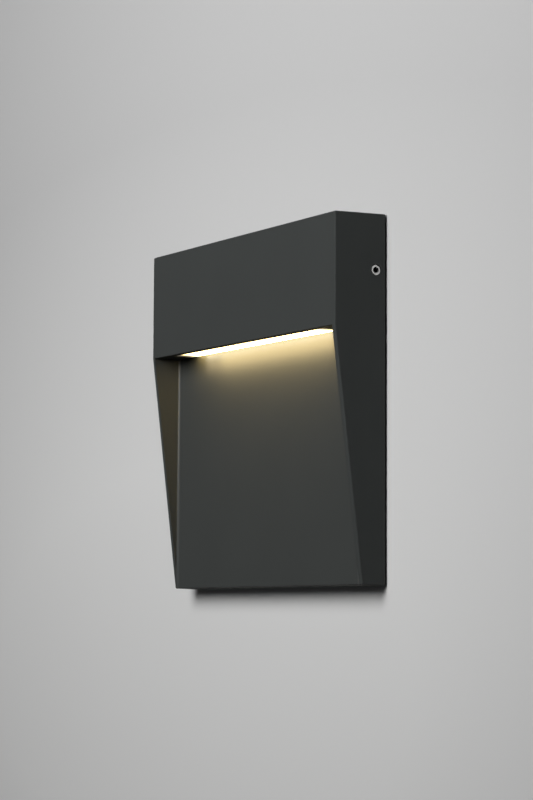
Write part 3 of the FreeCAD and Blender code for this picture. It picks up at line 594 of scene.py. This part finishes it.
headShape = {
    "sides": 36,
    "sideSteps": 2,
    "rings": 5,
    "crownFrom": 0.9,        # in head heights: what lies higher is crowned
    "crownPower": 3.0,
    "crownDrop": 0.3,        # at the rim, in head heights
    "cutter": 0.9,           # in head heights, half of it in the head
    "slot": (2.2, 0.24),     # length and width in head radii
    "arm": (1.16, 0.26),
}


def seatGrid(name, group):   # seats and steps from the CAD node's box
    low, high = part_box(name)
    head, height = group["Head radius"], group["Head height"]
    seat = low + Vector((head, head, head))
    for axis, way in enumerate(group["Facing"]):
        if way:
            seat[axis] = high[axis] - height if way > 0 else low[axis] + height
    column = (high.x - low.x - 2 * head) / max(group["Columns"] - 1, 1)
    row = (high.z - low.z - 2 * head) / max(group["Rows"] - 1, 1)
    return {"First seat": seat, "Column step": (column, 0, 0), "Row step": (0, 0, row)}


def crownedHead(tree, radius, height):
    blank = add(tree, "GeometryNodeMeshCylinder", {
        "Vertices": headShape["sides"], "Side Segments": headShape["sideSteps"],
        "Fill Segments": headShape["rings"], "Radius": radius, "Depth": height}, fill_type="TRIANGLE_FAN")
    seated = shifted(tree, blank.outputs["Mesh"], calc(tree, "MULTIPLY", height, 0.5))
    axes = positionAxes(tree)
    outward = calc(tree, "DIVIDE", fromAxis(tree, axes), radius)
    share = calc(tree, "POWER", outward, headShape["crownPower"])
    sink = calc(tree, "MULTIPLY", calc(tree, "MULTIPLY", share, height), -headShape["crownDrop"])
    onTop = calc(tree, "GREATER_THAN", axes["Z"], calc(tree, "MULTIPLY", height, headShape["crownFrom"]))
    offset = add(tree, "ShaderNodeCombineXYZ", {"Z": sink})
    return add(tree, "GeometryNodeSetPosition", {
        "Geometry": seated, "Selection": onTop, "Offset": offset.outputs[0]}).outputs[0]


def cutterBar(tree, radius, depth, shares):
    size = add(tree, "ShaderNodeCombineXYZ", {
        "X": calc(tree, "MULTIPLY", radius, shares[0]), "Y": calc(tree, "MULTIPLY", radius, shares[1]),
        "Z": depth})
    return add(tree, "GeometryNodeMeshCube", {"Size": size.outputs[0]}).outputs["Mesh"]


def driveCutter(tree, radius, height, isCross):
    depth = calc(tree, "MULTIPLY", height, headShape["cutter"])
    slot = cutterBar(tree, radius, depth, headShape["slot"])
    arm = cutterBar(tree, radius, depth, headShape["arm"])
    otherArm = add(tree, "GeometryNodeTransform", {"Geometry": arm, "Rotation": (0, 0, math.pi / 2)})
    cross = add(tree, "GeometryNodeMeshBoolean", operation="UNION", solver="MANIFOLD")
    tree.links.new(arm, cross.inputs["Mesh 2"])
    tree.links.new(otherArm.outputs[0], cross.inputs["Mesh 2"])
    return add(tree, "GeometryNodeSwitch", {
        "Switch": isCross, "False": slot, "True": cross.outputs["Mesh"]}, input_type="GEOMETRY").outputs[0]


def seatPoints(tree, given):
    columns = add(tree, "GeometryNodeMeshLine", {
        "Count": given["Columns"], "Start Location": given["First seat"], "Offset": given["Column step"]})
    rows = add(tree, "GeometryNodeMeshLine", {"Count": given["Rows"], "Offset": given["Row step"]})
    grid = add(tree, "GeometryNodeInstanceOnPoints", {
        "Points": columns.outputs["Mesh"], "Instance": rows.outputs["Mesh"]})
    return add(tree, "GeometryNodeRealizeInstances", {"Geometry": grid.outputs[0]}).outputs[0]


def chanceTurn(tree, given):   # heads stop at different angles
    turn = add(tree, "FunctionNodeAlignRotationToVector", {"Vector": given["Facing"]}, axis="Z")
    chance = add(tree, "FunctionNodeRandomValue", {"Seed": given["Seed"]}, data_type="FLOAT")
    spin = add(tree, "ShaderNodeCombineXYZ", {"Z": calc(tree, "MULTIPLY", chance.outputs[1], math.pi)})
    return add(tree, "FunctionNodeRotateRotation", {
        "Rotation": turn.outputs[0], "Rotate By": spin.outputs[0]}, rotation_space="LOCAL").outputs[0]


def screwGroupTree():
    tree, given = newTree("screwGroup", {
        "First seat": "Vector", "Facing": "Vector", "Column step": "Vector", "Columns": "Int",
        "Row step": "Vector", "Rows": "Int", "Head radius": "Float", "Head height": "Float",
        "Shank radius": "Float", "Shank length": "Float", "Pitch": "Float", "Thread steps": "Int",
        "Cross": "Bool", "Seed": "Int", "Finish": "Material"})
    radius, height = given["Head radius"], given["Head height"]
    cutter = driveCutter(tree, radius, height, given["Cross"])
    head = carved(tree, crownedHead(tree, radius, height), shifted(tree, cutter, height))
    length = given["Shank length"]
    rod = threadedRod(tree, given["Shank radius"], length, given["Pitch"], given["Thread steps"])
    screw = add(tree, "GeometryNodeJoinGeometry")
    tree.links.new(head, screw.inputs[0])
    tree.links.new(shifted(tree, rod, calc(tree, "MULTIPLY", length, -0.5)), screw.inputs[0])
    screws = add(tree, "GeometryNodeInstanceOnPoints", {
        "Points": seatPoints(tree, given), "Instance": screw.outputs[0],
        "Rotation": chanceTurn(tree, given)})
    whole = add(tree, "GeometryNodeRealizeInstances", {"Geometry": screws.outputs[0]})
    endTree(tree, coated(tree, whole.outputs[0], given["Finish"]))
    return tree


screwGroupNodes = screwGroupTree()
for name, group in screwGroups.items():
    values = {**group, **seatGrid(name, group)}
    piece = growPiece(name + "_cut", screwGroupNodes, values, grown["screwCorner"])
    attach(piece, group["body"])
    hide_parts(name)
print("screw groups seated:", len(screwGroups))


# LED row: white cups with a sunk phosphor face
ledRow = {
    "Count": 14,
    "Size": (2.8 * mm, 3.5 * mm, 0.7 * mm),
    "Face share": 0.78,
    "Sunk": 0.12 * mm,
}
chipBody = {
    "dark": (0.74, 0.74, 0.71), "light": (0.82, 0.82, 0.79), "blotch": 1.2 * mm, "grain": 0.15 * mm,
    "roughness": (0.40, 0.52), "relief": 0.004 * mm,
}


def ledRowTree():
    tree, given = newTree("ledRow", {
        "First chip": "Vector", "Pitch": "Float", "Count": "Int", "Size": "Vector", "Face share": "Float",
        "Sunk": "Float", "Body finish": "Material", "Face finish": "Material"})
    block = add(tree, "GeometryNodeMeshCube", {"Size": given["Size"]})
    normal = add(tree, "ShaderNodeSeparateXYZ", {0: add(tree, "GeometryNodeInputNormal").outputs[0]})
    facing = calc(tree, "LESS_THAN", normal.outputs["Z"], -0.5)   # the face that looks down
    rim = add(tree, "GeometryNodeExtrudeMesh", {
        "Mesh": block.outputs["Mesh"], "Selection": facing, "Offset Scale": 0.0}, mode="FACES")
    inner = add(tree, "GeometryNodeScaleElements", {
        "Geometry": rim.outputs["Mesh"], "Selection": rim.outputs["Top"], "Scale": given["Face share"]})
    well = add(tree, "GeometryNodeExtrudeMesh", {
        "Mesh": inner.outputs[0], "Selection": rim.outputs["Top"],
        "Offset Scale": calc(tree, "MULTIPLY", given["Sunk"], -1.0)}, mode="FACES")
    marked = add(tree, "GeometryNodeStoreNamedAttribute", {
        "Geometry": well.outputs["Mesh"], "Name": "phosphorFace", "Value": well.outputs["Top"]},
        data_type="BOOLEAN", domain="FACE")
    step = add(tree, "ShaderNodeCombineXYZ", {"X": given["Pitch"]})
    line = add(tree, "GeometryNodeMeshLine", {
        "Count": given["Count"], "Start Location": given["First chip"], "Offset": step.outputs[0]})
    chips = add(tree, "GeometryNodeInstanceOnPoints", {
        "Points": line.outputs["Mesh"], "Instance": marked.outputs[0]})
    whole = add(tree, "GeometryNodeRealizeInstances", {"Geometry": chips.outputs[0]})
    cups = coated(tree, whole.outputs[0], given["Body finish"])
    endTree(tree, coated(tree, cups, given["Face finish"], "phosphorFace"))
    return tree


rowLow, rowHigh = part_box("led_chips")
chipWidth = ledRow["Size"][0]
firstChip = (rowLow + rowHigh) / 2
firstChip.x = rowLow.x + chipWidth / 2
chipValues = {
    **ledRow,
    "First chip": firstChip,
    "Pitch": (rowHigh.x - rowLow.x - chipWidth) / (ledRow["Count"] - 1),
    "Body finish": cloudedFinish("chipBody", chipBody),
    "Face finish": phosphorFinish,
}
chips = growPiece("led_chips_cups", ledRowTree(), chipValues, grown["chipCorner"])
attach(chips, "light_body")
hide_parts("led_chips")
print("LED row placed")


# Backdrop: a wall, open behind the wall plate and seen only from its front, and a pale floor.
# The wall's colour holds a painted pool of light around the part and a painted glow far from the key
wall = {
    "behind": 0.2 * mm,          # past the wall face
    "reach": 2.0,
    "floorDrop": 1.15,
    "inset": 3.6 * mm,           # opening inside the plate's outline
    "lowInset": 1.2 * mm,
    "edge": (0.522, 0.522, 0.522),
    "middle": (0.680, 0.680, 0.675),
    "fadeReach": (1.0, 0.5),     # half width and half height of the painted pool of light
    "fadeSpan": (0.45, 0.8),
    "fadeCentre": (-0.10, -0.12),
    "lift": 0.62,                # painted light: the wall glows far from the key, where its light fades
    "liftSpan": (0.38, 0.95),
    "liftCentre": -0.1,
    "grain": 2 * mm,
    "roughness": (0.75, 0.85),
}


def wallSheet():
    low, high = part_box("wall_plate")
    xs = (-wall["reach"], low.x + wall["inset"], high.x - wall["inset"], wall["reach"])
    zs = (-wall["floorDrop"], low.z + wall["lowInset"], high.z - wall["inset"], wall["reach"])
    mesh = bpy.data.meshes.new("wall")
    sheet = bmesh.new()
    grid = [[sheet.verts.new((x, wall["behind"], z)) for x in xs] for z in zs]
    for row in range(3):
        for column in range(3):
            if (row, column) != (1, 1):
                sheet.faces.new((grid[row][column], grid[row][column + 1],
                                 grid[row + 1][column + 1], grid[row + 1][column]))
    sheet.to_mesh(mesh)
    sheet.free()
    return mesh


def wallPaintAndPaintedLight():
    finish, tree, shader = newFinish("wallPaintAndPaintedLight")
    across, up = (1 / reach for reach in wall["fadeReach"])
    middle = (-wall["fadeCentre"][0] * across, 0, -wall["fadeCentre"][1] * up)
    fade = add(tree, "ShaderNodeTexGradient", {   # painted pool of light: palest behind the light
        "Vector": objectPlace(tree, (across, up, up), middle)}, gradient_type="SPHERICAL")
    tint(tree, fade.outputs["Fac"], wall["edge"], wall["middle"], shader.inputs["Base Color"],
         wall["fadeSpan"])
    spread(tree, cloud(tree, wall["grain"]), *wall["roughness"], shader.inputs["Roughness"])
    # Painted glow: the wall's emission grows with distance from the lift centre
    away = add(tree, "ShaderNodeVectorMath", {
        0: objectPlace(tree, shift=(-wall["liftCentre"], 0, 0))}, operation="LENGTH")
    shader.inputs["Emission Color"].default_value = (*wall["middle"], 1)
    spread(tree, away.outputs["Value"], 0.0, wall["lift"], shader.inputs["Emission Strength"],
           wall["liftSpan"])
    clear = tree.nodes.new("ShaderNodeBsdfTransparent")
    facing = tree.nodes.new("ShaderNodeNewGeometry")
    oneSided = add(tree, "ShaderNodeMixShader", {
        "Fac": facing.outputs["Backfacing"], 1: shader.outputs["BSDF"], 2: clear.outputs["BSDF"]})
    tree.links.new(oneSided.outputs["Shader"], tree.nodes["Material Output"].inputs["Surface"])
    return finish


def makeWall():
    mesh = wallSheet()
    mesh.materials.append(wallPaintAndPaintedLight())
    panel = newObject("wall", mesh)


floorLook = {
    "reach": 4.0,
    "dark": (0.66, 0.66, 0.65),
    "light": (0.69, 0.69, 0.68),
    "cloudSize": 0.4,
    "lift": 0.75,
}


def makeFloor():
    mesh = bpy.data.meshes.new("floor")
    reach = floorLook["reach"]
    ways = ((-1, -1), (1, -1), (1, 1), (-1, 1))
    corners = [(x * reach, y * reach, -wall["floorDrop"]) for x, y in ways]
    mesh.from_pydata(corners, [], [(0, 1, 2, 3)])
    floor = newObject("floor", mesh)
    finish, tree, shader = newFinish("floorPaint")
    tone = cloud(tree, floorLook["cloudSize"])
    tint(tree, tone, floorLook["dark"], floorLook["light"], shader.inputs["Base Color"])
    tint(tree, tone, floorLook["dark"], floorLook["light"], shader.inputs["Emission Color"])
    shader.inputs["Emission Strength"].default_value = floorLook["lift"]
    mesh.materials.append(finish)
    floor.visible_diffuse = False    # no bounce onto the part
    floor.visible_glossy = False


makeWall()
makeFloor()
print("backdrop set")


# Soft studio light, and the LEDs' light on the lit panel
lights = {
    "key": {"place": (0.16, -0.78, 0.322), "aim": (-0.53, 0, 0.11), "size": 0.55, "power": 8.5},
    "rear": {"place": (0.5, 1.5, 0.8), "aim": (0, 0, 0), "size": 1.4, "power": 30.0},
}
washes = {
    "nearWash": {
        "left": -51 * mm, "right": 59 * mm, "width": 7 * mm,
        "drop": 3.2 * mm,            # below the opal face
        "inward": 0.0,               # from the opal's middle towards the lit panel
        "tilt": 75.0,                # degrees from straight down towards the lit panel
        "spread": 105.0, "power": 0.0118, "tint": (1.0, 0.72, 0.41),
    },
    "farWash": {
        "left": -38 * mm, "right": 66 * mm, "width": 7 * mm, "drop": 3.2 * mm,
        "inward": 0.0, "tilt": 40.0, "spread": 150.0, "power": 0.0226, "tint": (1.0, 0.72, 0.33),
    },
    "edgeWash": {
        "left": -51.5 * mm, "right": 58 * mm, "width": 1.6 * mm, "drop": 0.8 * mm,
        "inward": 3.0 * mm, "tilt": 60.0, "spread": 120.0, "power": 0.0048, "tint": (0.90, 0.90, 0.86),
    },
}
world = {
    "tint": (0.97, 0.985, 1.0),
    "front": 0.036,
    "behind": 0.45,
    "turnSpan": (0.0, 0.3),      # direction along Y, from the wall's plane backwards
    "backdrop": (0.62, 0.62, 0.62),
}


def newLamp(name, shape, size, power):
    lamp = bpy.data.lights.new(name, "AREA")
    lamp.shape = shape
    lamp.size = size
    lamp.energy = power
    return lamp, newObject(name, lamp)


def makeLight(name, rig):
    holder = newLamp(name, "DISK", rig["size"], rig["power"])[1]
    holder.location = rig["place"]
    way = Vector(rig["aim"]) - Vector(rig["place"])
    holder.rotation_euler = way.to_track_quat("-Z", "Y").to_euler()


def makeWash(name, row):   # carried by the light
    low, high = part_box("diffuser")
    middle = (low + high) / 2
    lamp, holder = newLamp(name, "RECTANGLE", row["right"] - row["left"], row["power"])
    lamp.size_y = row["width"]
    lamp.spread = math.radians(row["spread"])
    lamp.color = row["tint"]
    holder.location = ((row["left"] + row["right"]) / 2, middle.y + row["inward"], low.z - row["drop"])
    holder.rotation_euler = (math.radians(row["tilt"]), 0, 0)
    holder.visible_camera = False
    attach(holder, "light_body")


def makeWorld():   # dim in front of the wall, brighter behind it, a pale backdrop for the camera
    scene.world = bpy.data.worlds.new("studio")
    scene.world.use_nodes = True
    tree = scene.world.node_tree
    sky = tree.nodes["Background"]
    sky.inputs["Color"].default_value = (*world["tint"], 1)
    around = tree.nodes.new("ShaderNodeTexCoord")
    direction = add(tree, "ShaderNodeSeparateXYZ", {"Vector": around.outputs["Generated"]})
    spread(tree, direction.outputs["Y"], world["front"], world["behind"], sky.inputs["Strength"],
           world["turnSpan"])
    backdrop = add(tree, "ShaderNodeBackground", {"Color": (*world["backdrop"], 1)})
    ray = tree.nodes.new("ShaderNodeLightPath")
    mix = add(tree, "ShaderNodeMixShader", {
        "Fac": ray.outputs["Is Camera Ray"], 1: sky.outputs["Background"],
        2: backdrop.outputs["Background"]})
    tree.links.new(mix.outputs["Shader"], tree.nodes["World Output"].inputs["Surface"])


for name, rig in lights.items():
    makeLight(name, rig)
for name, row in washes.items():
    makeWash(name, row)
makeWorld()
scene.view_settings.view_transform = "Standard"
print("lights on")


# Camera where the photograph was taken from
view = {
    "place": (0.90693, -0.57480, -0.09664),
    "yaw": 58.136,               # degrees from +Y towards -X
    "pitch": 5.441,
    "roll": 0.293,
    "lens": 106.07,
    "nearest": 0.01,
}


def makeCamera():
    lens = bpy.data.cameras.new("camera")
    lens.lens = view["lens"]
    lens.clip_start = view["nearest"]
    camera = newObject("camera", lens)
    turn = Matrix.Rotation(math.radians(view["yaw"]), 4, "Z")
    turn = turn @ Matrix.Rotation(math.radians(90 + view["pitch"]), 4, "X")
    turn = turn @ Matrix.Rotation(math.radians(view["roll"]), 4, "Z")
    camera.matrix_world = Matrix.Translation(view["place"]) @ turn
    scene.camera = camera


makeCamera()
print("camera set")
